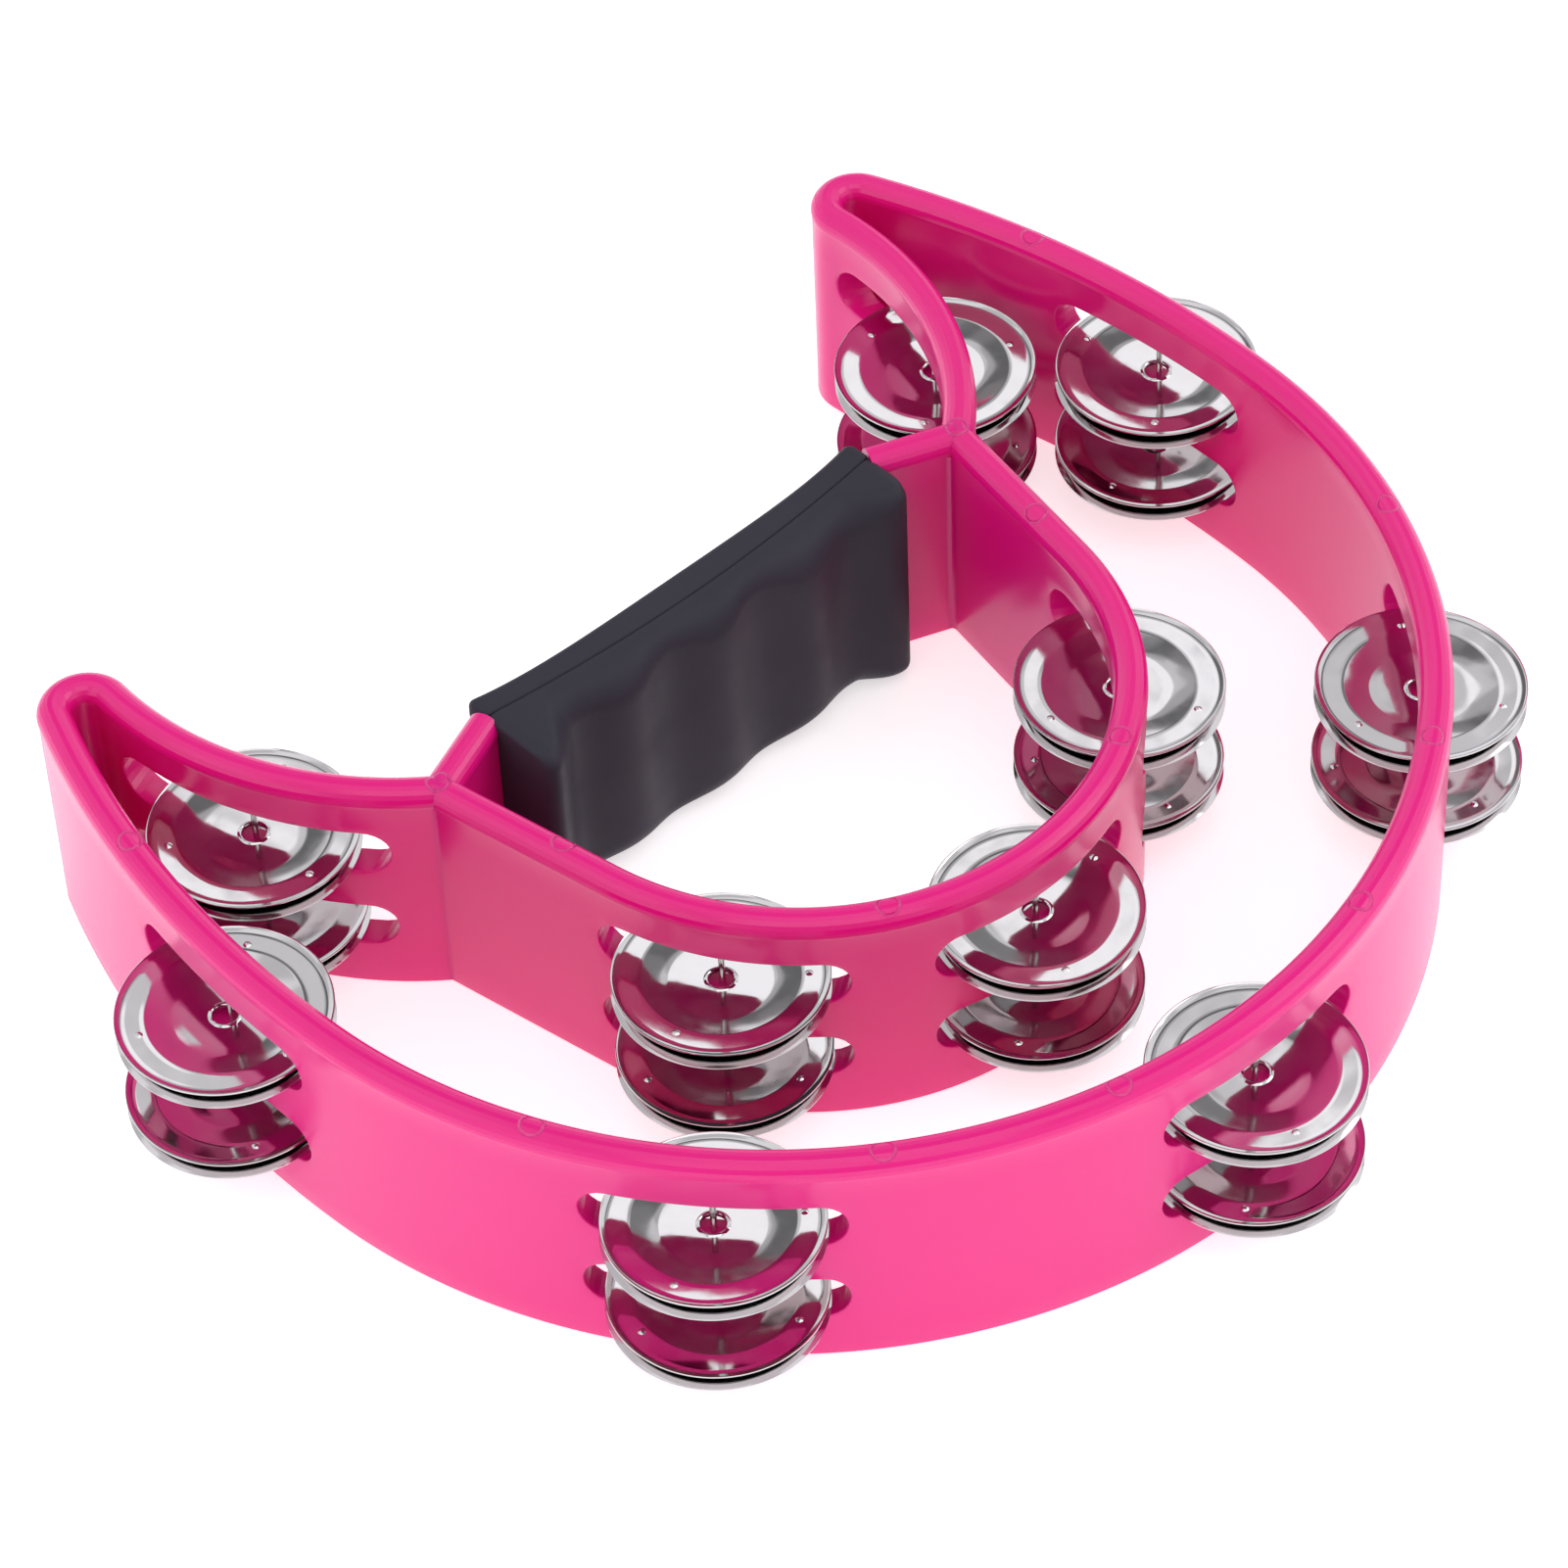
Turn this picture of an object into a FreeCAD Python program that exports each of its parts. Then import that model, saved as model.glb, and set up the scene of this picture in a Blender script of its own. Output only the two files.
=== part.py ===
import FreeCAD, Part
import math
import os

os.makedirs("parts", exist_ok=True)

# A hand-held half-moon tambourine, in millimetres. It lies on its back edge with every wall
# upright: X runs along the handle, the crescent bulges toward -Y, its two horns point toward +Y,
# and Z is the height of the walls. The origin is the middle of its plan, jingles and all, at floor
# level. The two sides of X = 0 mirror each other, except for the finger stops on the grip.

# ---- frame walls -------------------------------------------------------------------------------
HEIGHT = 52.0                # floor to the crown of the rail
WALL = 6.2                   # thickness of every wall
RAIL_R = 3.3                 # rounded bead along the top of every wall
EDGE = 0.4                   # small chamfer along the bottom edges

OUTER_Y = 23.4               # centre of the outer bow
OUTER_R = 121.5
OUTER_TURN = 86.0            # the bow turns this far each way from -Y, in degrees
FLANK_R = 217.0              # flatter flank that carries the bow on to a horn
FLANK_TURN = 112.0
TIP_R = 6.0                  # rounded end of each horn

HORN_R = 72.3                # hollow inner wall of each horn
JUNCTION = (67.1, 46.2)      # where horn, hand loop and handle meet, mirrored in X

LOOP_Y = 18.4                # centre of the hand loop
LOOP_R = 60.9

# ---- handle and grip ---------------------------------------------------------------------------
STRUT_END = (50.2, 52.9)     # where each short strut enters the grip
BAR_MID_Y = 49.3             # the handle bar bows by a few millimetres toward the fingers
BAR_WALL = 3.6
BAR_Z = (3.0, 49.0)
GRIP_HALF = 49.6             # half of the grip's length
GRIP_Z = (0.8, 51.6)
GRIP_SHELL = 2.4             # moulded wall of both grip halves
GRIP_FIT = 0.15              # room between the bar and its channel
SEAM = 0.1                   # open line between the two halves
GRIP_EDGE = 2.4              # rounding of the grip's long edges
GRIP_CORNER = 2.8            # rounding of its upright corners
BACK_Y = 55.9                # palm side, straight in the middle
BACK_FLARE = 2.9             # how far its ends stand out
FINGER_PITCH = 23.0
FINGER_RIDGE_Y = 41.4
FINGER_HOLLOW_Y = 44.0
FRONT_END_Y = (34.6, 40.5)   # the finger stops at the left and at the right end

# ---- slots, pins and jingles -------------------------------------------------------------------
SLOT_Z = (16.1, 35.9)        # mid-height of the lower and the upper row
SLOT_HEIGHT = 10.2
SLOT_HALF = 24.0             # half the length of a slot
HORN_SLOT = (29.5, 27.5)     # the longer slots of the horns, from their pin to tip and junction
SLOT_REACH = 12.0            # how far a slot's cutter reaches back, more than a wall's curve
# where the jingles stand, in degrees round the arc of their wall; each has its mirror image
BOW_STATION = 49.8           # from -Y
FLANK_STATION = 93.6         # from -Y
LOOP_STATION = 58.5          # from -Y
HORN_STATION = 67.4          # from -Y

PIN_R = 0.6
PIN_Z = (1.0, 46.0)
PIN_FIT = 0.02

JINGLE_R = 20.3
JINGLE_HOLE_R = 2.4
SHEET = 0.4                  # steel sheet of a jingle
JINGLE_HEIGHT = 1.9
CROWN_R = 9.3                # flat floor in the middle of a jingle's dish
HOLE_HEM = 0.2               # raised edge round the hole
FLANGE_R = 15.2              # where the dish's slope meets the flange
FLANGE_RISE = 1.05           # height of the flange above the floor of the dish
LIP_R = 19.0                 # where the lip turns up from the flange
LIP_RISE = 0.1               # the flange's own rise out to the lip
REST_GAP = 0.25              # air under the lower jingle, whose rim nears the slot's round ends
STACK_GAP = 0.1              # air between the two jingles of a pair

UP = FreeCAD.Vector(0, 0, 1)


def point(x, y, z=0.0):
    return FreeCAD.Vector(x, y, z)


def bearing(turn):
    """Unit vector that points -Y at 0 degrees and +X at 90."""
    a = math.radians(turn)
    return point(math.sin(a), -math.cos(a))


def angle_of(vector):
    return math.degrees(math.atan2(vector.y, vector.x))


def mirrored(vector):
    return point(-vector.x, vector.y, vector.z)


def circles_meet(a, ra, b, rb):
    """The point at distance ra from a and rb from b, to the left of the way from a to b."""
    way = b - a
    d = way.Length
    along = (ra ** 2 - rb ** 2 + d ** 2) / (2 * d)
    aside = math.sqrt(ra ** 2 - along ** 2)
    way.normalize()
    return a + way * along + UP.cross(way) * aside


# ---- plan of the walls -------------------------------------------------------------------------
outer_centre = point(0, OUTER_Y)
flank_centre = outer_centre + bearing(OUTER_TURN) * (OUTER_R - FLANK_R)
tip_centre = flank_centre + bearing(FLANK_TURN) * (FLANK_R - TIP_R)
junction = point(*JUNCTION)
horn_centre = circles_meet(junction, HORN_R, tip_centre, HORN_R + TIP_R)
loop_centre = point(0, LOOP_Y)
strut_end = point(*STRUT_END)

# the loop's straight side leaves its arc where it points at the junction
to_junction = junction - loop_centre
loop_turn = 90 + angle_of(to_junction) - math.degrees(math.acos(LOOP_R / to_junction.Length))
loop_tangent = loop_centre + bearing(loop_turn) * LOOP_R

bar_bow = STRUT_END[1] - BAR_MID_Y
bar_radius = (STRUT_END[0] ** 2 + bar_bow ** 2) / (2 * bar_bow)
bar_centre = point(0, BAR_MID_Y + bar_radius)


def wall_profile():
    """Outline of a wall in (offset from its middle, height): chamfered foot and round bead."""
    half = WALL / 2
    bead_z = HEIGHT - RAIL_R
    crease_z = bead_z - math.sqrt(RAIL_R ** 2 - half ** 2)
    foot = [(half, crease_z), (half, EDGE), (half - EDGE, 0)]
    foot += [(-u, z) for u, z in reversed(foot)]
    return foot, (0, HEIGHT)


def profile_face(place):
    """The wall's outline as a face; place turns (offset, height) into a point in space."""
    foot, crown = wall_profile()
    corners = [place(u, z) for u, z in foot]
    edges = [Part.makeLine(a, b) for a, b in zip(corners, corners[1:])]
    edges.append(Part.Arc(corners[-1], place(*crown), corners[0]).toShape())
    return Part.Face(Part.Wire(edges))


def straight_wall(start, end):
    way = end - start
    side = way.cross(UP)
    side.normalize()
    return profile_face(lambda u, z: start + side * u + UP * z).extrude(way)


def bowed_wall(centre, radius, start, end):
    """A wall along an arc, from start to end in degrees measured from +X."""
    ray = point(math.cos(math.radians(start)), math.sin(math.radians(start)))
    face = profile_face(lambda u, z: centre + ray * (radius + u) + UP * z)
    return face.revolve(centre, UP, end - start)


def corner_post(centre):
    """The wall's outline turned about an upright axis, to round a corner between walls."""
    foot, crown = wall_profile()
    side = [point(u, 0, z) + centre for u, z in foot if u > 0]
    top = centre + UP * HEIGHT
    shoulder = centre + UP * (HEIGHT - RAIL_R) + point(1, 0, 1).normalize() * RAIL_R
    edges = [Part.makeLine(a, b) for a, b in zip(side, side[1:])]
    edges.append(Part.makeLine(side[-1], centre))
    edges.append(Part.makeLine(centre, top))
    edges.append(Part.Arc(top, shoulder, side[0]).toShape())
    return Part.Face(Part.Wire(edges)).revolve(centre, UP, 360)


def ring_sector(centre, radius, thickness, z_low, z_high, start, end):
    """A plain upright curved slab."""
    ray = point(math.cos(math.radians(start)), math.sin(math.radians(start)))
    corners = []
    for r, z in ((-1, z_low), (1, z_low), (1, z_high), (-1, z_high), (-1, z_low)):
        corners.append(centre + ray * (radius + r * thickness / 2) + UP * z)
    return Part.Face(Part.makePolygon(corners)).revolve(centre, UP, end - start)


def bar_slab(thickness, z_low, z_high, reach):
    """The handle bar's bow, out to x = reach on both sides."""
    half = math.degrees(math.asin(reach / bar_radius))
    return ring_sector(bar_centre, bar_radius, thickness, z_low, z_high, -90 - half, -90 + half)


def both_sides(shape):
    return [shape, shape.mirror(point(0, 0), point(1, 0))]


def crescent_walls():
    """Outer bow, flanks, horn tips and the hollow walls of the horns."""
    walls = [bowed_wall(outer_centre, OUTER_R, -90 - OUTER_TURN, -90 + OUTER_TURN)]
    flank = bowed_wall(flank_centre, FLANK_R, OUTER_TURN - 90, FLANK_TURN - 90)
    horn_start = angle_of(junction - horn_centre)
    horn_end = angle_of(tip_centre - horn_centre)
    tip = bowed_wall(tip_centre, TIP_R, FLANK_TURN - 90, horn_end + 180)
    horn = bowed_wall(horn_centre, HORN_R, horn_start, horn_end)
    for piece in (flank, tip, horn):
        walls += both_sides(piece)
    return walls


def loop_walls():
    """The hand loop: an arc under the fingers and a straight side up to each junction."""
    walls = [bowed_wall(loop_centre, LOOP_R, -90 - loop_turn, -90 + loop_turn)]
    walls += both_sides(straight_wall(loop_tangent, junction))
    walls += both_sides(corner_post(junction))
    return walls


def handle_walls():
    """Struts up to the grip's ends and the thinner bar that runs through the grip."""
    strut = straight_wall(junction, strut_end + (strut_end - junction) * 0.2)
    beyond = Part.makeBox(40, 40, HEIGHT + 2, point(GRIP_HALF + 0.2, 20, -1))
    return both_sides(strut.common(beyond)) + [bar_slab(BAR_WALL, *BAR_Z, STRUT_END[0] + 2)]


def jingle_places():
    """For each pin its foot, the way square to the wall and the reach of the slots to both sides.

    The outer row comes first, then the inner one, both from left to right.
    """
    def station(centre, radius, turn, low=-SLOT_HALF, high=SLOT_HALF):
        return centre + bearing(turn) * radius, bearing(turn), low, high

    flank = station(flank_centre, FLANK_R, FLANK_STATION)
    bow = station(outer_centre, OUTER_R, BOW_STATION)
    horn = station(horn_centre, HORN_R, HORN_STATION, -HORN_SLOT[0], HORN_SLOT[1])
    loop = station(loop_centre, LOOP_R, LOOP_STATION)
    places = []
    for far, near, middle in ((flank, bow, station(outer_centre, OUTER_R, 0)),
                              (horn, loop, station(loop_centre, LOOP_R, 0))):
        for foot, way, low, high in (far, near):
            places.append((mirrored(foot), mirrored(way), -high, -low))
        places += [middle, near, far]
    return places


def slot_cutter(place, way, low, high, mid_z):
    """An obround bar square to the wall, from low to high along it."""
    along = way.cross(UP)
    r = SLOT_HEIGHT / 2
    start = place - way * SLOT_REACH + UP * mid_z

    def at(u, z):
        return start + along * u + UP * z

    edges = [Part.makeLine(at(low + r, -r), at(high - r, -r)),
             Part.Arc(at(high - r, -r), at(high, 0), at(high - r, r)).toShape(),
             Part.makeLine(at(high - r, r), at(low + r, r)),
             Part.Arc(at(low + r, r), at(low, 0), at(low + r, -r)).toShape()]
    return Part.Face(Part.Wire(edges)).extrude(way * (SLOT_REACH + WALL))


def make_frame():
    walls = crescent_walls() + loop_walls() + handle_walls()
    body = walls[0].fuse(walls[1:])
    cutters = []
    for place, way, low, high in jingle_places():
        cutters += [slot_cutter(place, way, low, high, z) for z in SLOT_Z]
        depth = PIN_Z[1] + PIN_FIT
        cutters.append(Part.makeCylinder(PIN_R + PIN_FIT, depth, place, UP))
    return body.cut(cutters).removeSplitter()


def grip_outline(inset):
    """Plan of the grip: four finger hollows in front, a straight back with flared ends."""
    end = GRIP_HALF - inset
    front = [point(-end, FRONT_END_Y[0] + inset), point(2.5 - end, FRONT_END_Y[0] + 0.3 + inset)]
    for step in range(-3, 4):
        y = FINGER_HOLLOW_Y if step % 2 else FINGER_RIDGE_Y
        front.append(point(step * FINGER_PITCH / 2, y + inset))
    front += [point(end - 2.5, FRONT_END_Y[1] + 0.2 + inset), point(end, FRONT_END_Y[1] + inset)]
    back = [point(end, BACK_Y + BACK_FLARE - inset), point(0.66 * end, BACK_Y + 0.7 - inset),
            point(0.4 * end, BACK_Y - inset)]
    back += [mirrored(p) for p in reversed(back)]
    finger_side = Part.BSplineCurve()
    finger_side.interpolate(front)
    palm_side = Part.BSplineCurve()
    palm_side.interpolate(back)
    edges = [finger_side.toShape(), Part.makeLine(front[-1], back[0]),
             palm_side.toShape(), Part.makeLine(back[-1], front[0])]
    return Part.Face(Part.Wire(edges))


def make_grip_halves():
    """Front and back shells that close round the bar along its bow."""
    block = grip_outline(0).extrude(UP * (GRIP_Z[1] - GRIP_Z[0]))
    block.translate(UP * GRIP_Z[0])
    upright = [e for e in block.Edges if e.BoundBox.ZLength > 1 and e.BoundBox.XLength < 0.01]
    block = block.makeFillet(GRIP_CORNER, upright)
    rims = [e for e in block.Edges if e.BoundBox.ZLength < 0.01]
    block = block.makeFillet(GRIP_EDGE, rims)
    z_low, z_high = BAR_Z[0] - GRIP_FIT, BAR_Z[1] + GRIP_FIT
    hollow = grip_outline(GRIP_SHELL).extrude(UP * (z_high - z_low))
    hollow.translate(UP * z_low)
    channel = bar_slab(BAR_WALL + 2 * GRIP_FIT, z_low, z_high, STRUT_END[0] + 1)
    shell = block.cut([hollow, channel])
    inside = Part.makeCylinder(bar_radius - SEAM / 2, HEIGHT + 2, bar_centre - UP, UP)
    outside = Part.makeCylinder(bar_radius + SEAM / 2, HEIGHT + 2, bar_centre - UP, UP)
    return shell.cut(outside), shell.common(inside)


def jingle_section():
    """Half section of a jingle, rim up: (radius, height) along its underside.

    A flat floor round the hole slopes up to a flange, whose edge turns up into a lip.
    """
    return [(JINGLE_HOLE_R, HOLE_HEM), (JINGLE_HOLE_R + 0.4, HOLE_HEM),
            (JINGLE_HOLE_R + 0.8, 0), (CROWN_R, 0), (FLANGE_R, FLANGE_RISE),
            (LIP_R, FLANGE_RISE + LIP_RISE), (JINGLE_R, JINGLE_HEIGHT - SHEET)]


def make_jingle(rim_up):
    under = jingle_section()
    ring = under + [(r, z + SHEET) for r, z in reversed(under)]
    if not rim_up:
        ring = [(r, JINGLE_HEIGHT - z) for r, z in ring]
    corners = [point(r, 0, z) for r, z in ring + ring[:1]]
    return Part.Face(Part.makePolygon(corners)).revolve(point(0, 0), UP, 360)


def save(shape, name):
    solid = shape.Solids[0]
    solid.exportStep("parts/" + name + ".step")


def main():
    save(make_frame(), "frame")
    grip_front, grip_back = make_grip_halves()
    save(grip_front, "grip_front")
    save(grip_back, "grip_back")
    cup_up = make_jingle(True)
    cup_down = make_jingle(False)
    for number, (place, _, _, _) in enumerate(jingle_places(), 1):
        pin = Part.makeCylinder(PIN_R, PIN_Z[1] - PIN_Z[0], place + UP * PIN_Z[0], UP)
        save(pin, "jingle_pin_%02d" % number)
        for row, mid_z in zip(("low", "high"), SLOT_Z):
            floor = mid_z - SLOT_HEIGHT / 2
            for layer, disc in enumerate((cup_down, cup_up)):
                z = floor + REST_GAP + layer * (JINGLE_HEIGHT + STACK_GAP)
                name = "jingle_%02d_%s_%s" % (number, row, ("under", "over")[layer])
                save(disc.translated(place + UP * z), name)


main()
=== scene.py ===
import math

import bmesh
import bpy
from mathutils import Matrix, Vector
from mathutils.geometry import delaunay_2d_cdt


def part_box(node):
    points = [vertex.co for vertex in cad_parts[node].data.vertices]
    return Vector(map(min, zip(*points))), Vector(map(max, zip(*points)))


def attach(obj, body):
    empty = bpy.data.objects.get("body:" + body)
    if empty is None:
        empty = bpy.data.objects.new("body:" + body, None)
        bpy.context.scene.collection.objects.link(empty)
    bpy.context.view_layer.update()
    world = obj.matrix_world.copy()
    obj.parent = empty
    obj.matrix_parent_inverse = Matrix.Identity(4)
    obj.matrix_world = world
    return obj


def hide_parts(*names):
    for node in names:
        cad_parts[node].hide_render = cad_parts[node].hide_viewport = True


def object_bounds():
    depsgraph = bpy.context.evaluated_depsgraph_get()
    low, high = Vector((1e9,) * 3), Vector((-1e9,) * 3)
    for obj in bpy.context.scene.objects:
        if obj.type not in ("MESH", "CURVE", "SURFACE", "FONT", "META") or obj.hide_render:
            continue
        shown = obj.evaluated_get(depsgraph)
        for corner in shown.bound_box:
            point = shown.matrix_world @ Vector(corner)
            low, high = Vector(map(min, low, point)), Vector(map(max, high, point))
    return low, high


# The tambourine's looks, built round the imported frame. Meshes are made in millimetres, in the
# frame's own axes, and scaled to metres at the end.

# ---- frame walls -------------------------------------------------------------------------------
HEIGHT = 52.0
WALL = 6.2
RAIL_R = 3.3
FOOT_ROUND = 0.5
OUTER_Y = 23.4
OUTER_R = 121.5
OUTER_TURN = 86.0
FLANK_R = 217.0
FLANK_TURN = 112.0
TIP_R = 6.0
HORN_R = 72.3
JUNCTION = (67.1, 46.2)
LOOP_Y = 18.4
LOOP_R = 60.9
STRUT_END = (50.2, 52.9)
CORNER_FILLET = 1.4          # moulded round in the upright corners where walls meet
GRIP_GAP = 0.1               # air between a strut's end and the grip
MESH_LEVELS = 10             # rows of faces up a wall's broad sides
SLOT_MARGIN = 0.7            # band round a slot's rim that is kept free of the plain mesh

SLOT_HALF = 24.0
HORN_SLOT = (29.5, 27.5)     # reach of the horns' longer slots to tip and junction
SLOT_HEIGHT = 10.2
SLOT_ROUND = 0.45            # softened rim of every slot
BOW_STATION = 49.8
FLANK_STATION = 93.6
LOOP_STATION = 58.5
HORN_STATION = 67.4

# faint round moulding marks on the rail, in degrees from -Y along each arc, on both sides
BOW_MARKS = (14.75, 35.5, 65.0)
FLANK_MARK = 102.0
LOOP_MARKS = (29.4, 90.0)
MARK_R = 2.2

# ---- grip --------------------------------------------------------------------------------------
GRIP_HALF = 49.6
BAR_MID_Y = 49.3
SEAM = 0.12
SEAM_CHAMFER = 0.3
FINGER_PITCH = 23.0
FINGER_RIDGE_Y = 41.4
FINGER_HOLLOW_Y = 44.0
FRONT_END_Y = (34.6, 40.5)
FRONT_ROUND = 3.0            # round on the upright corners at the grip's ends, finger side
BACK_ROUND = 1.6             # the same, palm side
SHOULDER_MIDDLE = 8.5        # shoulder's rounding along the finger side, and at its ends
SHOULDER_END = 3.2
SHOULDER_BACK = 1.5
BACK_Y = 55.9
BACK_FLARE = 2.9

# ---- jingles -----------------------------------------------------------------------------------
JINGLE_R = 20.3
HOLE_R = 2.4
SHEET = 0.3
JINGLE_HEIGHT = 1.9
CROWN_R = 9.6
FLANGE_R = 15.0
FLANGE_RISE = 1.06
LIP_R = 18.9
LIP_RISE = 0.06
DIMPLE_R = 0.9
DIMPLE_AT = 16.2
DIMPLE_RISE = 0.42
DIMPLE_COUNT = 3
HEM_WIDTH = 0.8              # rolled rim of the middle hole
# how far each jingle is turned round its pin, in degrees a station, a row and a layer
SPIN_STEPS = (47, 31, 77)
REST_GAP = 0.25              # air between the lower jingle and its slot's floor
# how each pair hangs on its pin: shifted square to the wall in mm, leaning in degrees
HANG = {1: (1.4, 1.5), 2: (0.3, -1.0), 3: (0.3, 0.8), 4: (-1.3, 1.2), 5: (-0.9, -0.8),
        6: (0.6, 0.8), 7: (0.9, -1.2), 8: (0.2, 1.2), 9: (-0.2, 1.2), 10: (0.2, -0.9)}

MM = 0.001

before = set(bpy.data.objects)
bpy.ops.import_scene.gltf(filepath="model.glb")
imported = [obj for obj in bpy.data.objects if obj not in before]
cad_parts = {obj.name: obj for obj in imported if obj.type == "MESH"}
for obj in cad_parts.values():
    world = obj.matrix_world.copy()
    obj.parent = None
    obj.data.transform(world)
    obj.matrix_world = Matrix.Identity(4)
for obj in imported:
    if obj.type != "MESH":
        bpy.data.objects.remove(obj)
cad_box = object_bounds()


# ---- helpers -----------------------------------------------------------------------------------
def bearing(turn):
    """Unit vector in plan that points -Y at 0 degrees and +X at 90."""
    a = math.radians(turn)
    return Vector((math.sin(a), -math.cos(a)))


def ray_at(degrees):
    a = math.radians(degrees)
    return Vector((math.cos(a), math.sin(a)))


def angle_of(vector):
    return math.degrees(math.atan2(vector.y, vector.x))


def node_middle(node):
    low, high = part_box(node)
    return (low + high) / 2


def finish_mesh(bm, name, sharp=32.0):
    """A smooth-shaded object from a mesh in millimetres; edges over the sharp angle stay crisp."""
    bmesh.ops.remove_doubles(bm, verts=bm.verts, dist=2e-4)
    bmesh.ops.recalc_face_normals(bm, faces=bm.faces)
    limit = math.radians(sharp)
    for face in bm.faces:
        face.smooth = True
    for edge in bm.edges:
        if len(edge.link_faces) == 2 and edge.calc_face_angle() > limit:
            edge.smooth = False
    bmesh.ops.scale(bm, verts=bm.verts, vec=(MM, MM, MM))
    mesh = bpy.data.meshes.new(name)
    bm.to_mesh(mesh)
    bm.free()
    return mesh


def strip(bm, rows, closed=False):
    """Quads between successive rows of vertices; closed joins each row's end to its start."""
    for low, high in zip(rows, rows[1:]):
        count = len(low)
        for i in range(count if closed else count - 1):
            j = (i + 1) % count
            bm.faces.new((low[i], low[j], high[j], high[i]))


# ---- plan of the walls -------------------------------------------------------------------------
class Arc:
    """An arc of wall. side is 1 where the crescent's outside is away from the centre, else -1."""

    def __init__(self, centre, radius, start, end, side=1):
        self.centre, self.radius, self.side = centre, radius, side
        self.start, self.end = start, end
        self.length = radius * math.radians(abs(end - start))
        self.steps = max(2, math.ceil(max(abs(end - start) / 7.5, self.length / 2.0)))

    def at(self, s, u):
        angle = self.start + (self.end - self.start) * s / self.length
        return self.centre + ray_at(angle) * (self.radius + self.side * u)

    def along(self, s, x, u):
        """Where the line square to the tangent at s, x away from s, crosses the offset u."""
        return s + self.radius * math.asin(x / (self.radius + self.side * u))

    def mirrored(self):
        centre = Vector((-self.centre.x, self.centre.y))
        return Arc(centre, self.radius, 180 - self.end, 180 - self.start, self.side)

    def position_of(self, turn):
        """Distance along the arc of the bearing turn."""
        return self.radius * math.radians(abs(turn - 90 - self.start))


class Straight:
    def __init__(self, start, end):
        self.begin, self.way = start, (end - start).normalized()
        self.length = (end - start).length
        self.steps = math.ceil(self.length / 2.5)

    def at(self, s, u):
        outside = Vector((self.way.y, -self.way.x))
        return self.begin + self.way * s + outside * u


class Wall:
    """A run of arcs and straights, with its slots as (segment, distance along, low, high)."""

    def __init__(self, segments, stations=()):
        self.segments = segments
        self.starts = [sum(g.length for g in segments[:i]) for i in range(len(segments))]
        self.length = sum(g.length for g in segments)
        self.stations = stations

    def at(self, s, u, z):
        k = max(i for i, start in enumerate(self.starts) if s >= start - 1e-9 or i == 0)
        flat = self.segments[k].at(s - self.starts[k], u)
        return Vector((flat.x, flat.y, z))

    def samples(self):
        values = []
        for start, segment in zip(self.starts, self.segments):
            values += [start + segment.length * i / segment.steps for i in range(segment.steps)]
        return values + [self.length]


def circles_meet(a, ra, b, rb):
    """The point at distance ra from a and rb from b, to the left of the way from a to b."""
    way = b - a
    d = way.length
    along = (ra ** 2 - rb ** 2 + d ** 2) / (2 * d)
    aside = math.sqrt(ra ** 2 - along ** 2)
    way.normalize()
    return a + way * along + Vector((-way.y, way.x)) * aside


outer_centre = Vector((0, OUTER_Y))
flank_centre = outer_centre + bearing(OUTER_TURN) * (OUTER_R - FLANK_R)
tip_centre = flank_centre + bearing(FLANK_TURN) * (FLANK_R - TIP_R)
junction = Vector(JUNCTION)
horn_centre = circles_meet(junction, HORN_R, tip_centre, HORN_R + TIP_R)
loop_centre = Vector((0, LOOP_Y))
strut_end = Vector(STRUT_END)

bar_bow = STRUT_END[1] - BAR_MID_Y
bar_radius = (STRUT_END[0] ** 2 + bar_bow ** 2) / (2 * bar_bow)
bar_centre_y = BAR_MID_Y + bar_radius


def crescent_wall():
    """From the left junction along the horn, tip, flank, bow, and back to the right junction."""
    horn_end = angle_of(tip_centre - horn_centre)
    flank = Arc(flank_centre, FLANK_R, OUTER_TURN - 90, FLANK_TURN - 90)
    tip = Arc(tip_centre, TIP_R, FLANK_TURN - 90, horn_end + 180)
    horn = Arc(horn_centre, HORN_R, horn_end, angle_of(junction - horn_centre), side=-1)
    bow = Arc(outer_centre, OUTER_R, -90 - OUTER_TURN, -90 + OUTER_TURN)
    left = [horn.mirrored(), tip.mirrored(), flank.mirrored()]
    on_flank = flank.position_of(FLANK_STATION)
    on_horn = horn.radius * math.radians(horn_end - (HORN_STATION - 90))
    on_bow = [bow.position_of(turn) for turn in (-BOW_STATION, 0, BOW_STATION)]
    plain = (-SLOT_HALF, SLOT_HALF)
    tip_side, junction_side = HORN_SLOT
    stations = [(0, horn.length - on_horn, -junction_side, tip_side)]
    stations.append((2, flank.length - on_flank, *plain))
    stations += [(3, s, *plain) for s in on_bow]
    stations.append((4, on_flank, *plain))
    stations.append((6, on_horn, -tip_side, junction_side))
    return Wall(left + [bow, flank, tip, horn], stations)


def loop_wall():
    to_junction = junction - loop_centre
    sweep_turn = 90 + angle_of(to_junction) - math.degrees(math.acos(LOOP_R / to_junction.length))
    arc = Arc(loop_centre, LOOP_R, -90 - sweep_turn, -90 + sweep_turn)
    tangent = loop_centre + bearing(sweep_turn) * LOOP_R
    mirror = Vector((-1, 1))
    stations = [(1, arc.position_of(turn), -SLOT_HALF, SLOT_HALF)
                for turn in (-LOOP_STATION, 0, LOOP_STATION)]
    return Wall([Straight(junction * mirror, tangent * mirror), arc,
                 Straight(tangent, junction)], stations)


# ---- the frame's mesh --------------------------------------------------------------------------
half_wall = WALL / 2
bead_z = HEIGHT - RAIL_R
crease_z = bead_z - math.sqrt(RAIL_R ** 2 - half_wall ** 2)


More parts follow.
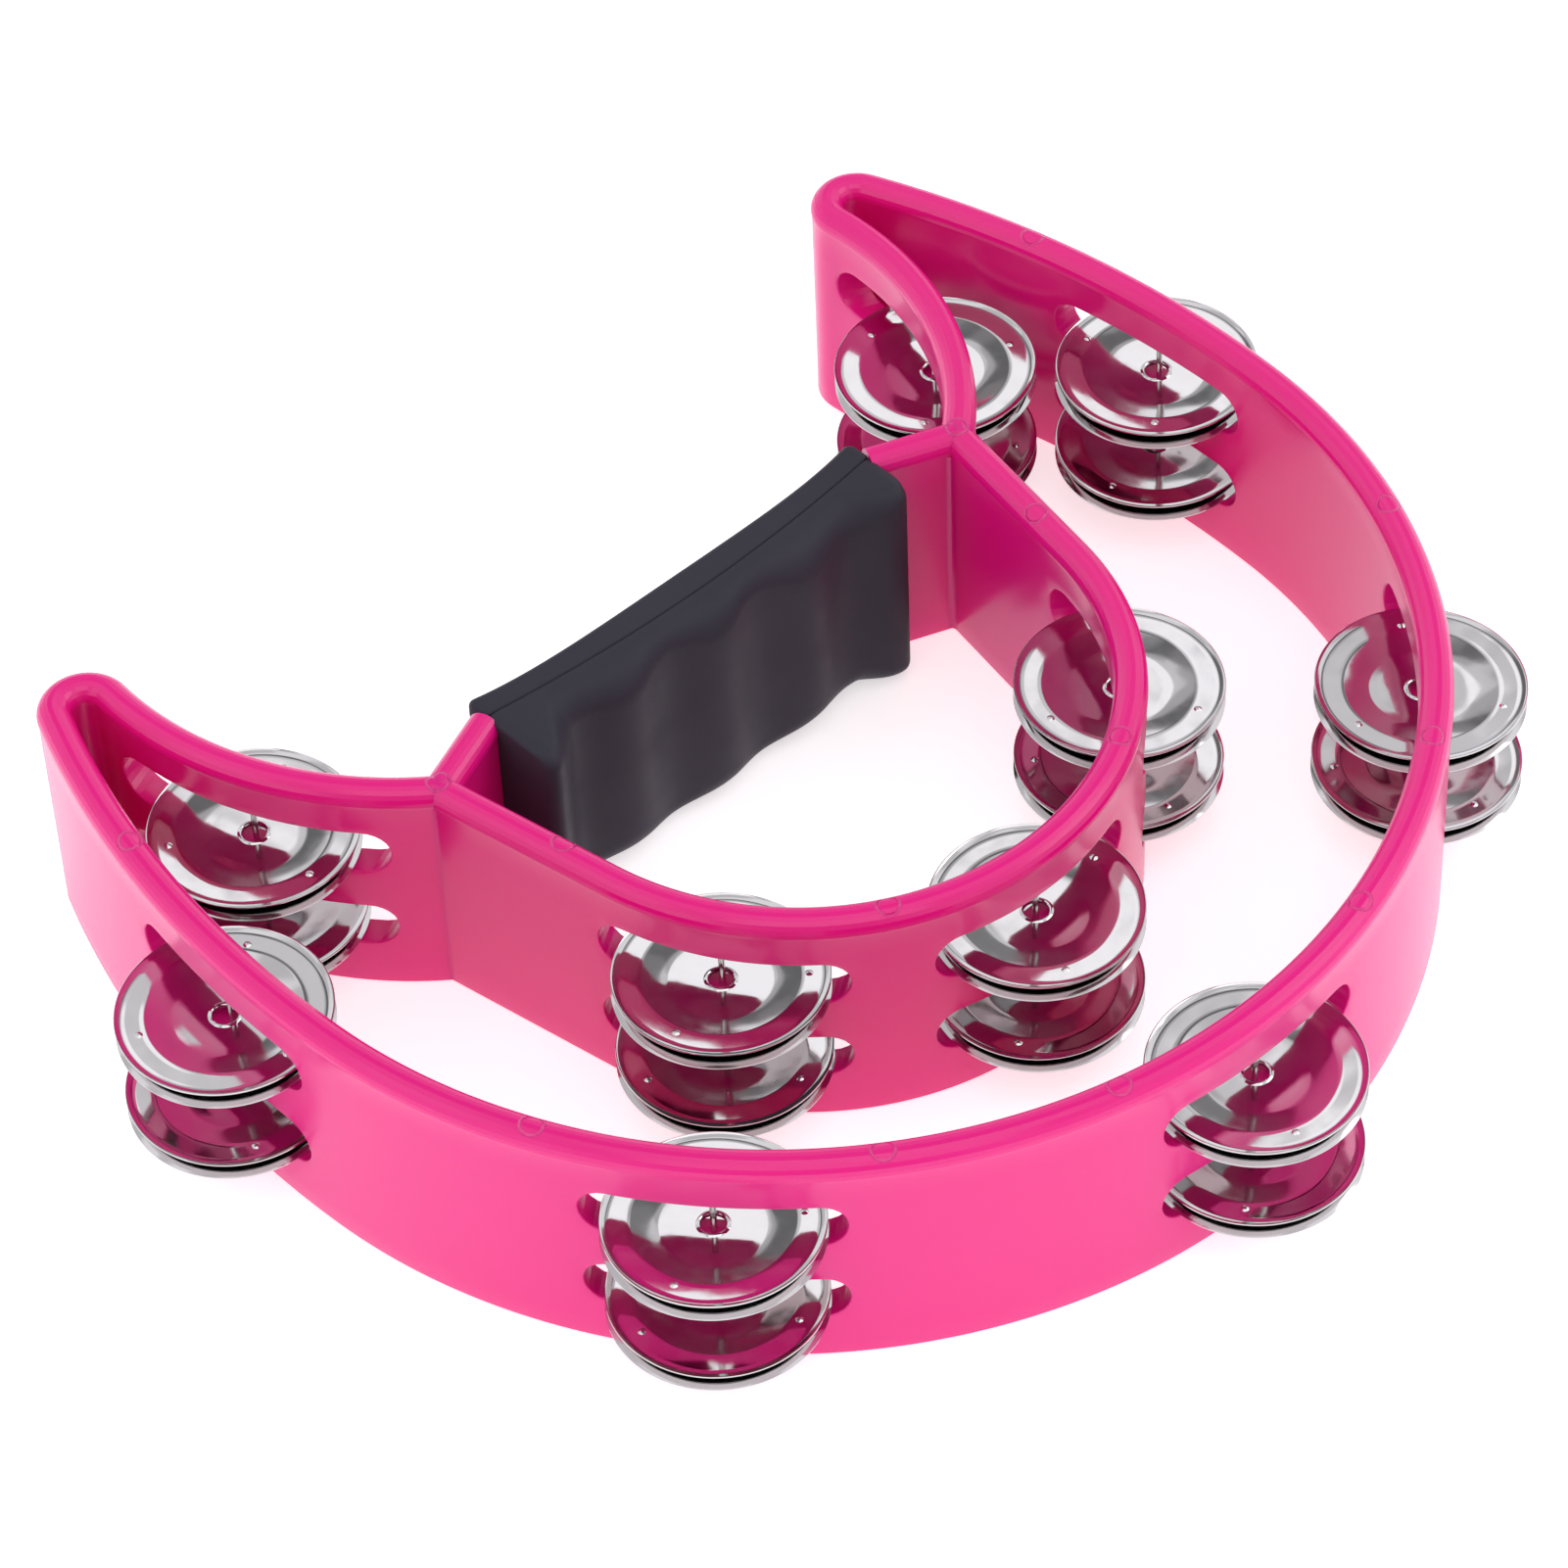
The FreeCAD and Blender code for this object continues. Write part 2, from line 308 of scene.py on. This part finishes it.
def bead_profile(steps=14):
    """(offset, height) over the rail, from the outer crease to the inner one."""
    low = math.atan2(crease_z - bead_z, half_wall)
    angles = [low + (math.pi - 2 * low) * i / steps for i in range(steps + 1)]
    return [(RAIL_R * math.cos(a), bead_z + RAIL_R * math.sin(a)) for a in angles]


def foot_profile(steps=4):
    """(offset, height) under the wall, from its inner face to its outer one."""
    inner = half_wall - FOOT_ROUND
    quarter = [math.radians(90 * i / steps) for i in range(steps + 1)]
    rounded = [(inner + FOOT_ROUND * math.cos(a), FOOT_ROUND * (1 - math.sin(a)))
               for a in quarter]
    return [(-u, z) for u, z in rounded] + rounded[::-1]


def obround(low, high, grow, steps=12, along=14):
    """Outline of a slot from low to high along its wall: (x, z) points, grown all round."""
    r = SLOT_HEIGHT / 2
    middle, flat = (low + high) / 2, (high - low) / 2 - r
    points = []
    for sign in (1, -1):
        arc = [math.radians(-90 + 180 * i / steps) for i in range(steps + 1)]
        points += [(middle + sign * (flat + (r + grow) * math.cos(a)),
                    sign * (r + grow) * math.sin(a)) for a in arc]
        points += [(middle + sign * flat * (1 - 2 * i / along), sign * (r + grow))
                   for i in range(1, along)]
    return points


def in_obround(x, z, low, high, grow):
    r = SLOT_HEIGHT / 2
    over = max(low + r - x, x - high + r, 0)
    return math.hypot(over, z) < r + grow


def slot_heights():
    """Mid-heights of the two rows, from the jingles that stand on each slot's floor."""
    heights = []
    for row in ("low", "high"):
        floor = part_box("jingle_03_%s_under" % row)[0].z / MM - REST_GAP
        heights.append(floor + SLOT_HEIGHT / 2)
    return heights


def face_sheet(bm, wall, u, heights):
    """One broad side of a wall, with its slots left open."""
    samples = wall.samples()
    low, high = FOOT_ROUND, crease_z
    points = [(s, low) for s in samples] + [(s, high) for s in reversed(samples)]
    edges = [(i, (i + 1) % len(points)) for i in range(len(points))]
    slots = [(wall.segments[k], wall.starts[k], s, ends, z)
             for k, s, *ends in wall.stations for z in heights]
    for segment, start, s, ends, mid_z in slots:
        first = len(points)
        ring = [(start + segment.along(s, x, u), mid_z + z)
                for x, z in obround(*ends, SLOT_ROUND)]
        points += ring
        edges += [(first + i, first + (i + 1) % len(ring)) for i in range(len(ring))]

    def near_slot(s_here, z_here, grow):
        for segment, start, s, ends, mid_z in slots:
            turn = (s_here - start - s) / segment.radius
            if abs(turn) < 1:
                x = (segment.radius + segment.side * u) * math.sin(turn)
                if in_obround(x, z_here - mid_z, *ends, grow):
                    return True
        return False

    for i in range(1, MESH_LEVELS):
        z = low + (high - low) * i / MESH_LEVELS
        points += [(s, z) for s in samples[1:-1]
                   if not near_slot(s, z, SLOT_ROUND + SLOT_MARGIN)]
    flat, _, faces, _, _, _ = delaunay_2d_cdt([Vector(p) for p in points], edges, [], 0, 1e-5)
    verts = [bm.verts.new(wall.at(p.x, u, p.y)) for p in flat]
    for face in faces:
        middle = sum((flat[i] for i in face), Vector((0, 0))) / 3
        if not near_slot(middle.x, middle.y, SLOT_ROUND - 0.02):
            bm.faces.new([verts[i] for i in face])


def slot_tunnel(bm, wall, station, mid_z, steps=4):
    """The rounded rims and the straight inside of one slot."""
    k, s, *ends = station
    segment, start = wall.segments[k], wall.starts[k]
    rims = []
    for i in range(steps + 1):
        a = math.radians(90 * i / steps)
        rims.append((SLOT_ROUND * (1 - math.sin(a)), half_wall - SLOT_ROUND * (1 - math.cos(a))))
    rims += [(grow, -u) for grow, u in reversed(rims)]
    rows = []
    for grow, u in rims:
        rows.append([bm.verts.new(wall.at(start + segment.along(s, x, u), u, mid_z + z))
                     for x, z in obround(*ends, grow)])
    strip(bm, rows, closed=True)


def sweep(bm, wall, profile):
    rows = [[bm.verts.new(wall.at(s, u, z)) for u, z in profile] for s in wall.samples()]
    strip(bm, rows)


def end_caps(bm, wall):
    outline = bead_profile() + foot_profile()
    for s in (0, wall.length):
        bm.faces.new([bm.verts.new(wall.at(s, u, z)) for u, z in outline])


def add_wall(bm, wall, heights):
    for u in (half_wall, -half_wall):
        face_sheet(bm, wall, u, heights)
    for station in wall.stations:
        for mid_z in heights:
            slot_tunnel(bm, wall, station, mid_z)
    sweep(bm, wall, bead_profile())
    sweep(bm, wall, foot_profile())
    end_caps(bm, wall)


def add_post(bm, centre, segments=32):
    """The wall's outline turned about an upright axis where walls meet."""
    outline = [p for p in foot_profile() if p[0] > 0]
    outline += [p for p in bead_profile() if p[0] > 1e-6]
    rows = []
    for u, z in outline:
        rows.append([bm.verts.new((centre.x + u * math.cos(a), centre.y + u * math.sin(a), z))
                     for a in (2 * math.pi * i / segments for i in range(segments))])
    strip(bm, rows, closed=True)
    for row in (rows[0], rows[-1]):
        bm.faces.new(row)


def add_corner_fillet(bm, corner, way_a, way_b, steps=6):
    """Fills the upright corner between two walls that leave corner along way_a and way_b."""
    opening = way_a.angle(way_b)
    reach = half_wall + CORNER_FILLET
    middle = corner + (way_a + way_b).normalized() * reach / math.sin(opening / 2)
    along = reach / math.tan(opening / 2)
    foot_a, foot_b = corner + way_a * along, corner + way_b * along
    start = (foot_a - middle).normalized()
    end = (foot_b - middle).normalized()
    arc = []
    for i in range(steps + 1):
        t = i / steps
        blend = (start * (1 - t) + end * t).normalized()
        arc.append(middle + blend * CORNER_FILLET)
    outline = arc + [foot_b, corner, foot_a]
    rows = [[bm.verts.new((p.x, p.y, z)) for p in outline] for z in (FOOT_ROUND, crease_z)]
    strip(bm, rows, closed=True)
    for row in rows:
        bm.faces.new(row)


def frame_mesh():
    heights = slot_heights()
    bm = bmesh.new()
    add_wall(bm, crescent_wall(), heights)
    add_wall(bm, loop_wall(), heights)
    for sign in (1, -1):
        mirror = Vector((sign, 1))
        corner = junction * mirror
        end = strut_end * mirror
        reach = (abs(corner.x) - GRIP_HALF - GRIP_GAP) / abs(corner.x - end.x)
        strut = Wall([Straight(corner, corner + (end - corner) * reach)])
        add_wall(bm, strut, heights)
        add_post(bm, corner)
        tangent_way = (loop_wall().segments[2].way * -1) * mirror
        strut_way = (end - corner).normalized()
        to_horn = junction - horn_centre
        horn_way = Vector((-to_horn.y, to_horn.x)).normalized() * mirror
        add_corner_fillet(bm, corner, tangent_way, strut_way)
        add_corner_fillet(bm, corner, strut_way, horn_way)
        add_corner_fillet(bm, corner, horn_way, tangent_way)
    return finish_mesh(bm, "frame_moulding", sharp=14.0)


# ---- grip --------------------------------------------------------------------------------------
def seam_y(x, side):
    """The bar's bow; side is -1 for the front half's edge of the seam and 1 for the back's."""
    return bar_centre_y - math.sqrt((bar_radius - side * SEAM / 2) ** 2 - x ** 2)


def eased(keys, x):
    """Smooth level-ended steps between (x, value) keys."""
    for (xa, va), (xb, vb) in zip(keys, keys[1:]):
        if x <= xb:
            t = (x - xa) / (xb - xa)
            return va + (vb - va) * (1 - math.cos(math.pi * t)) / 2
    return keys[-1][1]


def front_y(x):
    keys = [(-GRIP_HALF, FRONT_END_Y[0]), (1 - GRIP_HALF, FRONT_END_Y[0])]
    for step in range(-3, 4):
        keys.append((step * FINGER_PITCH / 2, FINGER_HOLLOW_Y if step % 2 else FINGER_RIDGE_Y))
    keys += [(GRIP_HALF - 4, FRONT_END_Y[1]), (GRIP_HALF, FRONT_END_Y[1])]
    return eased(keys, x)


def back_y(x):
    return BACK_Y + BACK_FLARE * (abs(x) / GRIP_HALF) ** 4


def shoulder_r(x):
    """Rounding from the top and underside to the finger side."""
    keys = [(0, SHOULDER_MIDDLE), (GRIP_HALF - 16, SHOULDER_MIDDLE), (GRIP_HALF, SHOULDER_END)]
    return eased(keys, abs(x))


def grip_stations(round_r, steps=7):
    """(x, inset) along the grip; the inset rounds its upright corners."""
    ends = []
    for i in range(steps + 1):
        a = math.radians(90 * i / steps)
        ends.append((round_r * (1 - math.cos(a)), round_r * (1 - math.sin(a))))
    stations = [(along - GRIP_HALF, inset) for along, inset in ends]
    inner = GRIP_HALF - round_r
    count = 90
    stations += [(-inner + 2 * inner * i / count, 0.0) for i in range(1, count)]
    return stations + [(-x, inset) for x, inset in reversed(stations[:steps + 1])]


def grip_section(x, inset, side, face_y, shoulder, low, high):
    """One slice of a grip half: (y, z) from the seam's top round its outside to its foot."""
    y_seam = seam_y(x, side)
    y_face = face_y - side * inset
    top, foot = high - 0.35 * inset, low + 0.35 * inset
    r = min(shoulder, abs(y_face - y_seam) - SEAM_CHAMFER - 0.2)
    quarter = [math.radians(90 * i / 9) for i in range(10)]
    points = [(y_seam, top - SEAM_CHAMFER), (y_seam + side * SEAM_CHAMFER, top)]
    points += [(y_face - side * r * (1 - math.sin(a)), top - r * (1 - math.cos(a)))
               for a in quarter]
    tall = top - foot - 2 * r
    points += [(y_face, top - r - tall * i / 6) for i in range(1, 6)]
    points += [(y_face - side * r * (1 - math.cos(a)), foot + r * (1 - math.sin(a)))
               for a in quarter]
    points += [(y_seam + side * SEAM_CHAMFER, foot), (y_seam, foot + SEAM_CHAMFER)]
    return points


def grip_mesh(name, side):
    node = "grip_front" if side < 0 else "grip_back"
    low, high = (corner.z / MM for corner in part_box(node))
    round_r = FRONT_ROUND if side < 0 else BACK_ROUND
    bm = bmesh.new()
    rows = []
    for x, inset in grip_stations(round_r):
        face = front_y(x) if side < 0 else back_y(x)
        shoulder = shoulder_r(x) if side < 0 else SHOULDER_BACK
        section = grip_section(x, inset, side, face, shoulder, low, high)
        rows.append([bm.verts.new((x, y, z)) for y, z in section])
    strip(bm, rows, closed=True)
    for row in (rows[0], rows[-1]):
        bm.faces.new(row)
    return finish_mesh(bm, name, sharp=40.0)


# ---- jingles -----------------------------------------------------------------------------------
def jingle_profile():
    """(radius, height) along the underside of the dish, rim up, from the hole to the lip's edge."""
    hem = HOLE_R + HEM_WIDTH
    points = [(HOLE_R, -0.1), (HOLE_R + 0.08, 0.14), (HOLE_R + 0.3, 0.26), (HOLE_R + 0.55, 0.18),
              (hem, 0)]
    points += [(hem + (CROWN_R - hem) * i / 4, 0) for i in range(1, 5)]
    for i in range(1, 13):
        t = i / 12
        points.append((CROWN_R + (FLANGE_R - CROWN_R) * t, FLANGE_RISE * t ** 1.25))
    for i in range(1, 6):
        t = i / 5
        points.append((FLANGE_R + (LIP_R - FLANGE_R) * t, FLANGE_RISE + LIP_RISE * t))
    foot = FLANGE_RISE + LIP_RISE
    for i in range(1, 6):
        t = i / 5
        points.append((LIP_R + (JINGLE_R - LIP_R) * t,
                       foot + (JINGLE_HEIGHT - SHEET - foot) * t ** 1.15))
    return points


def jingle_mesh(name, rim_up, segments=96):
    """A pressed dish round its own middle height, rim up or turned over."""
    under = [(r, max(z, 0)) for r, z in jingle_profile()]
    inside = [(r - 0.15 * (r == JINGLE_R), z + SHEET) for r, z in jingle_profile()]
    edge = [(JINGLE_R - 0.04, JINGLE_HEIGHT - 0.03), (JINGLE_R, JINGLE_HEIGHT - 0.12)]
    outline = inside + edge + under[::-1]
    flip = 1 if rim_up else -1
    middle = JINGLE_HEIGHT / 2
    bm = bmesh.new()
    rows = []
    for i in range(segments):
        a = 2 * math.pi * i / segments
        rows.append([bm.verts.new((r * math.cos(a), r * math.sin(a), flip * (z - middle)))
                     for r, z in outline])
    strip(bm, rows + rows[:1], closed=True)
    for k in range(DIMPLE_COUNT):
        add_dimple(bm, math.radians(360 / DIMPLE_COUNT * k), flip, middle)
    return finish_mesh(bm, name, sharp=24.0)


def add_dimple(bm, turn, flip, middle, rings=4, segments=14):
    """A small punched bump on the flange, proud of the side that faces out of the pair."""
    x, y = DIMPLE_AT * math.cos(turn), DIMPLE_AT * math.sin(turn)
    base = SHEET + FLANGE_RISE
    rows = []
    for i in range(rings + 1):
        t = i / rings
        r = DIMPLE_R * (1 - t) + 0.04 * t
        z = base - 0.05 + DIMPLE_RISE * math.sin(math.pi * t / 2) ** 1.2
        rows.append([bm.verts.new((x + r * math.cos(b), y + r * math.sin(b), flip * (z - middle)))
                     for b in (2 * math.pi * j / segments for j in range(segments))])
    strip(bm, rows, closed=True)
    bm.faces.new(rows[-1])
    bm.faces.new(rows[0])


# ---- materials ---------------------------------------------------------------------------------
class Shader:
    """A small helper round one node tree."""

    def __init__(self, name):
        self.material = bpy.data.materials.new(name)
        self.material.use_nodes = True
        self.nodes = self.material.node_tree.nodes
        self.links = self.material.node_tree.links
        self.bsdf = self.nodes["Principled BSDF"]
        self.coords = self.nodes.new("ShaderNodeTexCoord").outputs["Object"]

    def set(self, **values):
        for name, value in values.items():
            self.bsdf.inputs[name.replace("_", " ")].default_value = value

    def noise(self, scale, detail=3.0, rough=0.55):
        node = self.nodes.new("ShaderNodeTexNoise")
        node.inputs["Scale"].default_value = scale
        node.inputs["Detail"].default_value = detail
        node.inputs["Roughness"].default_value = rough
        self.links.new(self.coords, node.inputs["Vector"])
        return node.outputs["Fac"]

    def ramp(self, value, low, high, out_low, out_high):
        node = self.nodes.new("ShaderNodeMapRange")
        for name, number in zip(("From Min", "From Max", "To Min", "To Max"),
                                (low, high, out_low, out_high)):
            node.inputs[name].default_value = number
        self.links.new(value, node.inputs["Value"])
        return node.outputs["Result"]

    def mix(self, factor, colour_a, colour_b):
        node = self.nodes.new("ShaderNodeMix")
        node.data_type = "RGBA"
        for name, colour in (("A", colour_a), ("B", colour_b)):
            if isinstance(colour, tuple):
                node.inputs[name].default_value = (*colour, 1)
            else:
                self.links.new(colour, node.inputs[name])
        self.links.new(factor, node.inputs["Factor"])
        return node.outputs["Result"]

    def math(self, operation, *values):
        node = self.nodes.new("ShaderNodeMath")
        node.operation = operation
        for socket, value in zip(node.inputs, values):
            if isinstance(value, (int, float)):
                socket.default_value = value
            else:
                self.links.new(value, socket)
        return node.outputs["Value"]

    def distance(self, place):
        """Distance in metres from a place given in millimetres."""
        node = self.nodes.new("ShaderNodeVectorMath")
        node.operation = "DISTANCE"
        node.inputs[1].default_value = Vector(place) * MM
        self.links.new(self.coords, node.inputs[0])
        return node.outputs["Value"]

    def bump(self, height, strength, distance, under=None):
        node = self.nodes.new("ShaderNodeBump")
        node.inputs["Strength"].default_value = strength
        node.inputs["Distance"].default_value = distance
        self.links.new(height, node.inputs["Height"])
        if under is not None:
            self.links.new(under, node.inputs["Normal"])
        return node.outputs["Normal"]

    def feed(self, socket, value):
        self.links.new(value, self.bsdf.inputs[socket])


def rail_marks():
    """Middles of the moulding marks on the crown of the rail."""
    right = [outer_centre + bearing(turn) * OUTER_R for turn in BOW_MARKS]
    right.append(flank_centre + bearing(FLANK_MARK) * FLANK_R)
    right += [loop_centre + bearing(turn) * LOOP_R for turn in LOOP_MARKS]
    right += [junction, tip_centre]
    return [(sign * middle.x, middle.y, HEIGHT) for middle in right for sign in (1, -1)]


def pink_plastic():
    """Glossy moulded plastic: faint flow variation, fine grain and thin rings on the rail."""
    shader = Shader("pink_plastic")
    nearest = None
    for middle in rail_marks():
        far = shader.distance(middle)
        nearest = far if nearest is None else shader.math("MINIMUM", nearest, far)
    off_ring = shader.math("ABSOLUTE", shader.math("SUBTRACT", nearest, MARK_R * MM))
    ring = shader.ramp(off_ring, 0.0, 0.00034, 1.0, 0.0)
    flow = shader.mix(shader.noise(6, 0), (0.76, 0.0045, 0.205), (0.82, 0.007, 0.235))
    pale_ring = shader.math("MULTIPLY", ring, 0.6)
    shader.feed("Base Color", shader.mix(pale_ring, flow, (0.9, 0.09, 0.36)))
    shader.feed("Roughness", shader.ramp(shader.noise(11, 0), 0.1, 0.9, 0.19, 0.26))
    rings = shader.bump(shader.math("SUBTRACT", 1.0, ring), 1.0, 0.0003)
    shader.feed("Normal", rings)
    shader.set(IOR=1.5, Subsurface_Weight=0.15, Subsurface_Scale=0.002,
               Subsurface_Radius=(1.0, 0.12, 0.35))
    return shader.material


def dark_grip():
    """Satin soft-touch plastic with a very fine texture and a trace of dust."""
    shader = Shader("dark_grip")
    shader.feed("Base Color", shader.mix(shader.noise(30, 5), (0.03, 0.029, 0.04),
                                         (0.042, 0.04, 0.055)))
    shader.feed("Roughness", shader.ramp(shader.noise(80, 5), 0.3, 0.7, 0.42, 0.54))
    waves = shader.bump(shader.noise(70, 2), 0.15, 0.0004)
    shader.feed("Normal", shader.bump(shader.noise(2200, 2), 0.2, 0.00012, waves))
    shader.set(IOR=1.5, Specular_IOR_Level=0.12)
    return shader.material


def plated_steel(name, tint, rough_low, rough_high):
    """Bright pressed steel with soft dents and an uneven polish."""
    shader = Shader(name)
    shader.feed("Base Color", shader.mix(shader.noise(160, 4), tint,
                                         tuple(0.9 * c for c in tint)))
    shader.feed("Roughness", shader.ramp(shader.noise(420, 4), 0.3, 0.7, rough_low, rough_high))
    shader.feed("Normal", shader.bump(shader.noise(95, 1), 0.3, 0.0005))
    shader.set(Metallic=1.0)
    return shader.material


pink = pink_plastic()
grip_black = dark_grip()
jingle_steel = plated_steel("jingle_steel", (0.62, 0.605, 0.61), 0.06, 0.12)
pin_steel = plated_steel("pin_wire", (0.68, 0.67, 0.66), 0.12, 0.2)

# ---- pieces ------------------------------------------------------------------------------------
ROOT = "handle_frame"


def add_piece(name, mesh, material, body, nodes, location=(0, 0, 0)):
    """Adds an object that stands for the named nodes and rides their body."""
    piece = bpy.data.objects.new(name, mesh)
    bpy.context.scene.collection.objects.link(piece)
    mesh.materials.append(material)
    piece.location = location
    bpy.context.view_layer.update()
    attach(piece, body)
    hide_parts(*nodes)


add_piece("frame_moulding", frame_mesh(), pink, ROOT, ["frame"])
add_piece("grip_finger_side", grip_mesh("grip_finger_side", -1), grip_black, ROOT,
          ["grip_front"])
add_piece("grip_palm_side", grip_mesh("grip_palm_side", 1), grip_black, ROOT,
          ["grip_back"])

disc_up = jingle_mesh("jingle_rim_up", True)
disc_down = jingle_mesh("jingle_rim_down", False)
near_turns = (-BOW_STATION, 0, BOW_STATION), (-LOOP_STATION, 0, LOOP_STATION)
station_turns = []
for far_turn, middle_turns in zip((FLANK_STATION, HORN_STATION), near_turns):
    station_turns += [-far_turn, *middle_turns, far_turn]

for number, turn in enumerate(station_turns, 1):
    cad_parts["jingle_pin_%02d" % number].data.materials[0] = pin_steel
    shift, lean = HANG[number]
    out = bearing(turn).to_3d()
    tangent = Vector((-out.y, out.x, 0))
    for row in ("low", "high"):
        for layer, mesh in (("under", disc_down), ("over", disc_up)):
            node = "jingle_%02d_%s_%s" % (number, row, layer)
            steps = (number, row == "high", layer == "over")
            spin = math.radians(sum(turned * step for turned, step in zip(SPIN_STEPS, steps)))
            pose = Matrix.Rotation(math.radians(lean), 4, tangent) @ Matrix.Rotation(spin, 4, "Z")
            disc = mesh.copy()
            disc.transform(pose)
            add_piece("disc_" + node[7:], disc, jingle_steel, node, [node],
                      node_middle(node) + out * shift * MM)

# ---- camera, light and floor -------------------------------------------------------------------
VIEW_TURN = -41.48
VIEW_RISE = 46.5
VIEW_ROLL = -2.65
VIEW_TARGET = Vector((0.0101, 0.03727, 0.0))
VIEW_DISTANCE = 1.1954
VIEW_ANGLE = 14.63
FLOOR_SIZE = 6.0
FLOOR_GAP = 0.0002           # air under the walls, so that floor and feet do not share a plane
FLOOR_GLOW = 0.58
DARK_SIDE = Vector((-0.46, -0.52, 0.72))     # from the object up toward the camera
PANEL_SIDE = Vector((0.46, 0.52, 0.72))      # where the flat steel of a jingle looks
PANEL_EDGE = 0.85                            # cosine of 32 degrees
MOTTLE_SCALE = 5.0
MOTTLE_LEVELS = (0.72, 1.08)
SHADE_LEVEL = 0.3                            # brightness left at the middle of DARK_SIDE
HORIZON_LEVEL = 1.08
# brightness from the panel's edge (0) to its middle (1)
PANEL_LEVELS = ((0.4, 1.08), (0.47, 0.28), (0.76, 0.28), (0.8, 0.85), (0.955, 0.85), (0.97, 1.4))


def add_camera():
    turn, rise, roll = (math.radians(v) for v in (VIEW_TURN, VIEW_RISE, VIEW_ROLL))
    back = Vector((math.sin(turn) * math.cos(rise), -math.cos(turn) * math.cos(rise),
                   math.sin(rise)))
    level = Vector((math.cos(turn), math.sin(turn), 0))
    upright = back.cross(level)
    right = level * math.cos(roll) + upright * math.sin(roll)
    up = upright * math.cos(roll) - level * math.sin(roll)
    data = bpy.data.cameras.new("camera")
    data.sensor_width = 36.0
    data.angle = math.radians(VIEW_ANGLE)
    camera = bpy.data.objects.new("camera", data)
    bpy.context.scene.collection.objects.link(camera)
    rotation = Matrix((right, up, back)).transposed().to_4x4()
    camera.matrix_world = Matrix.Translation(VIEW_TARGET + back * VIEW_DISTANCE) @ rotation
    bpy.context.scene.camera = camera


def add_area(name, location, size, power, colour=(1, 1, 1)):
    data = bpy.data.lights.new(name, "AREA")
    data.shape = "RECTANGLE"
    data.size, data.size_y = size
    data.energy = power
    data.color = colour
    light = bpy.data.objects.new(name, data)
    bpy.context.scene.collection.objects.link(light)
    light.location = location
    aim = Vector((0, 0, 0.02)) - Vector(location)
    light.rotation_euler = aim.to_track_quat("-Z", "Y").to_euler()


def add_world():
    """A pale studio: a soft panel ringed in grey, shade on the camera's side, a brighter horizon."""
    world = bpy.data.worlds.new("studio")
    bpy.context.scene.world = world
    world.use_nodes = True
    nodes, links = world.node_tree.nodes, world.node_tree.links
    direction = nodes.new("ShaderNodeTexCoord").outputs["Generated"]

    def fade(value, low, high, out_low, out_high, kind="SMOOTHSTEP"):
        node = nodes.new("ShaderNodeMapRange")
        node.interpolation_type = kind
        for name, level in zip(("From Min", "From Max", "To Min", "To Max"),
                               (low, high, out_low, out_high)):
            node.inputs[name].default_value = level
        links.new(value, node.inputs["Value"])
        return node.outputs["Result"]

    def multiply(first, second):
        node = nodes.new("ShaderNodeMath")
        node.operation = "MULTIPLY"
        links.new(first, node.inputs[0])
        links.new(second, node.inputs[1])
        return node.outputs["Value"]

    def along(axis):
        node = nodes.new("ShaderNodeVectorMath")
        node.operation = "DOT_PRODUCT"
        node.inputs[1].default_value = axis
        links.new(direction, node.inputs[0])
        return node.outputs["Value"]

    panel = nodes.new("ShaderNodeValToRGB")
    stops = panel.color_ramp.elements
    for stop, level in ((stops[0], PANEL_LEVELS[0][1]), (stops[1], PANEL_LEVELS[-1][1])):
        stop.color = (level, level, level, 1)
    for at, level in PANEL_LEVELS:
        stops.new(at).color = (level, level, level, 1)
    links.new(fade(along(PANEL_SIDE), PANEL_EDGE, 1.0, 0.0, 1.0, "LINEAR"), panel.inputs["Fac"])
    mottle = nodes.new("ShaderNodeTexNoise")
    mottle.inputs["Scale"].default_value = MOTTLE_SCALE
    mottle.inputs["Detail"].default_value = 0.0
    links.new(direction, mottle.inputs["Vector"])
    strength = multiply(panel.outputs["Color"],
                        fade(mottle.outputs["Fac"], 0.44, 0.56, *MOTTLE_LEVELS))
    strength = multiply(strength, fade(along(DARK_SIDE), 0.72, 0.93, 1.0, SHADE_LEVEL))
    strength = multiply(strength, fade(along((0, 0, 1)), 0.42, 0.5, HORIZON_LEVEL, 1.0))
    background = nodes["Background"]
    background.inputs["Color"].default_value = (0.97, 0.97, 1.0, 1)
    links.new(strength, background.inputs["Strength"])


def add_floor():
    bm = bmesh.new()
    bmesh.ops.create_grid(bm, x_segments=2, y_segments=2, size=FLOOR_SIZE)
    mesh = bpy.data.meshes.new("floor")
    bm.to_mesh(mesh)
    bm.free()
    floor = bpy.data.objects.new("floor", mesh)
    bpy.context.scene.collection.objects.link(floor)
    shader = Shader("pale_floor")
    shader.feed("Base Color", shader.mix(shader.noise(3, 2), (0.9, 0.9, 0.9),
                                         (0.92, 0.92, 0.92)))
    shader.set(Roughness=0.7, Emission_Color=(1, 1, 1, 1), Emission_Strength=FLOOR_GLOW)
    mesh.materials.append(shader.material)
    floor.location.z = cad_box[0].z - FLOOR_GAP


add_camera()
add_world()
add_floor()
add_area("soft_left", (-1.5, 0.1, 1.1), (1.3, 1.3), 2)
add_area("soft_right", (1.2, -0.9, 1.3), (1.1, 1.1), 5)
add_area("soft_front", (-0.6, -0.8, 2.0), (1.8, 1.4), 10)

bpy.context.scene.view_settings.view_transform = "Standard"
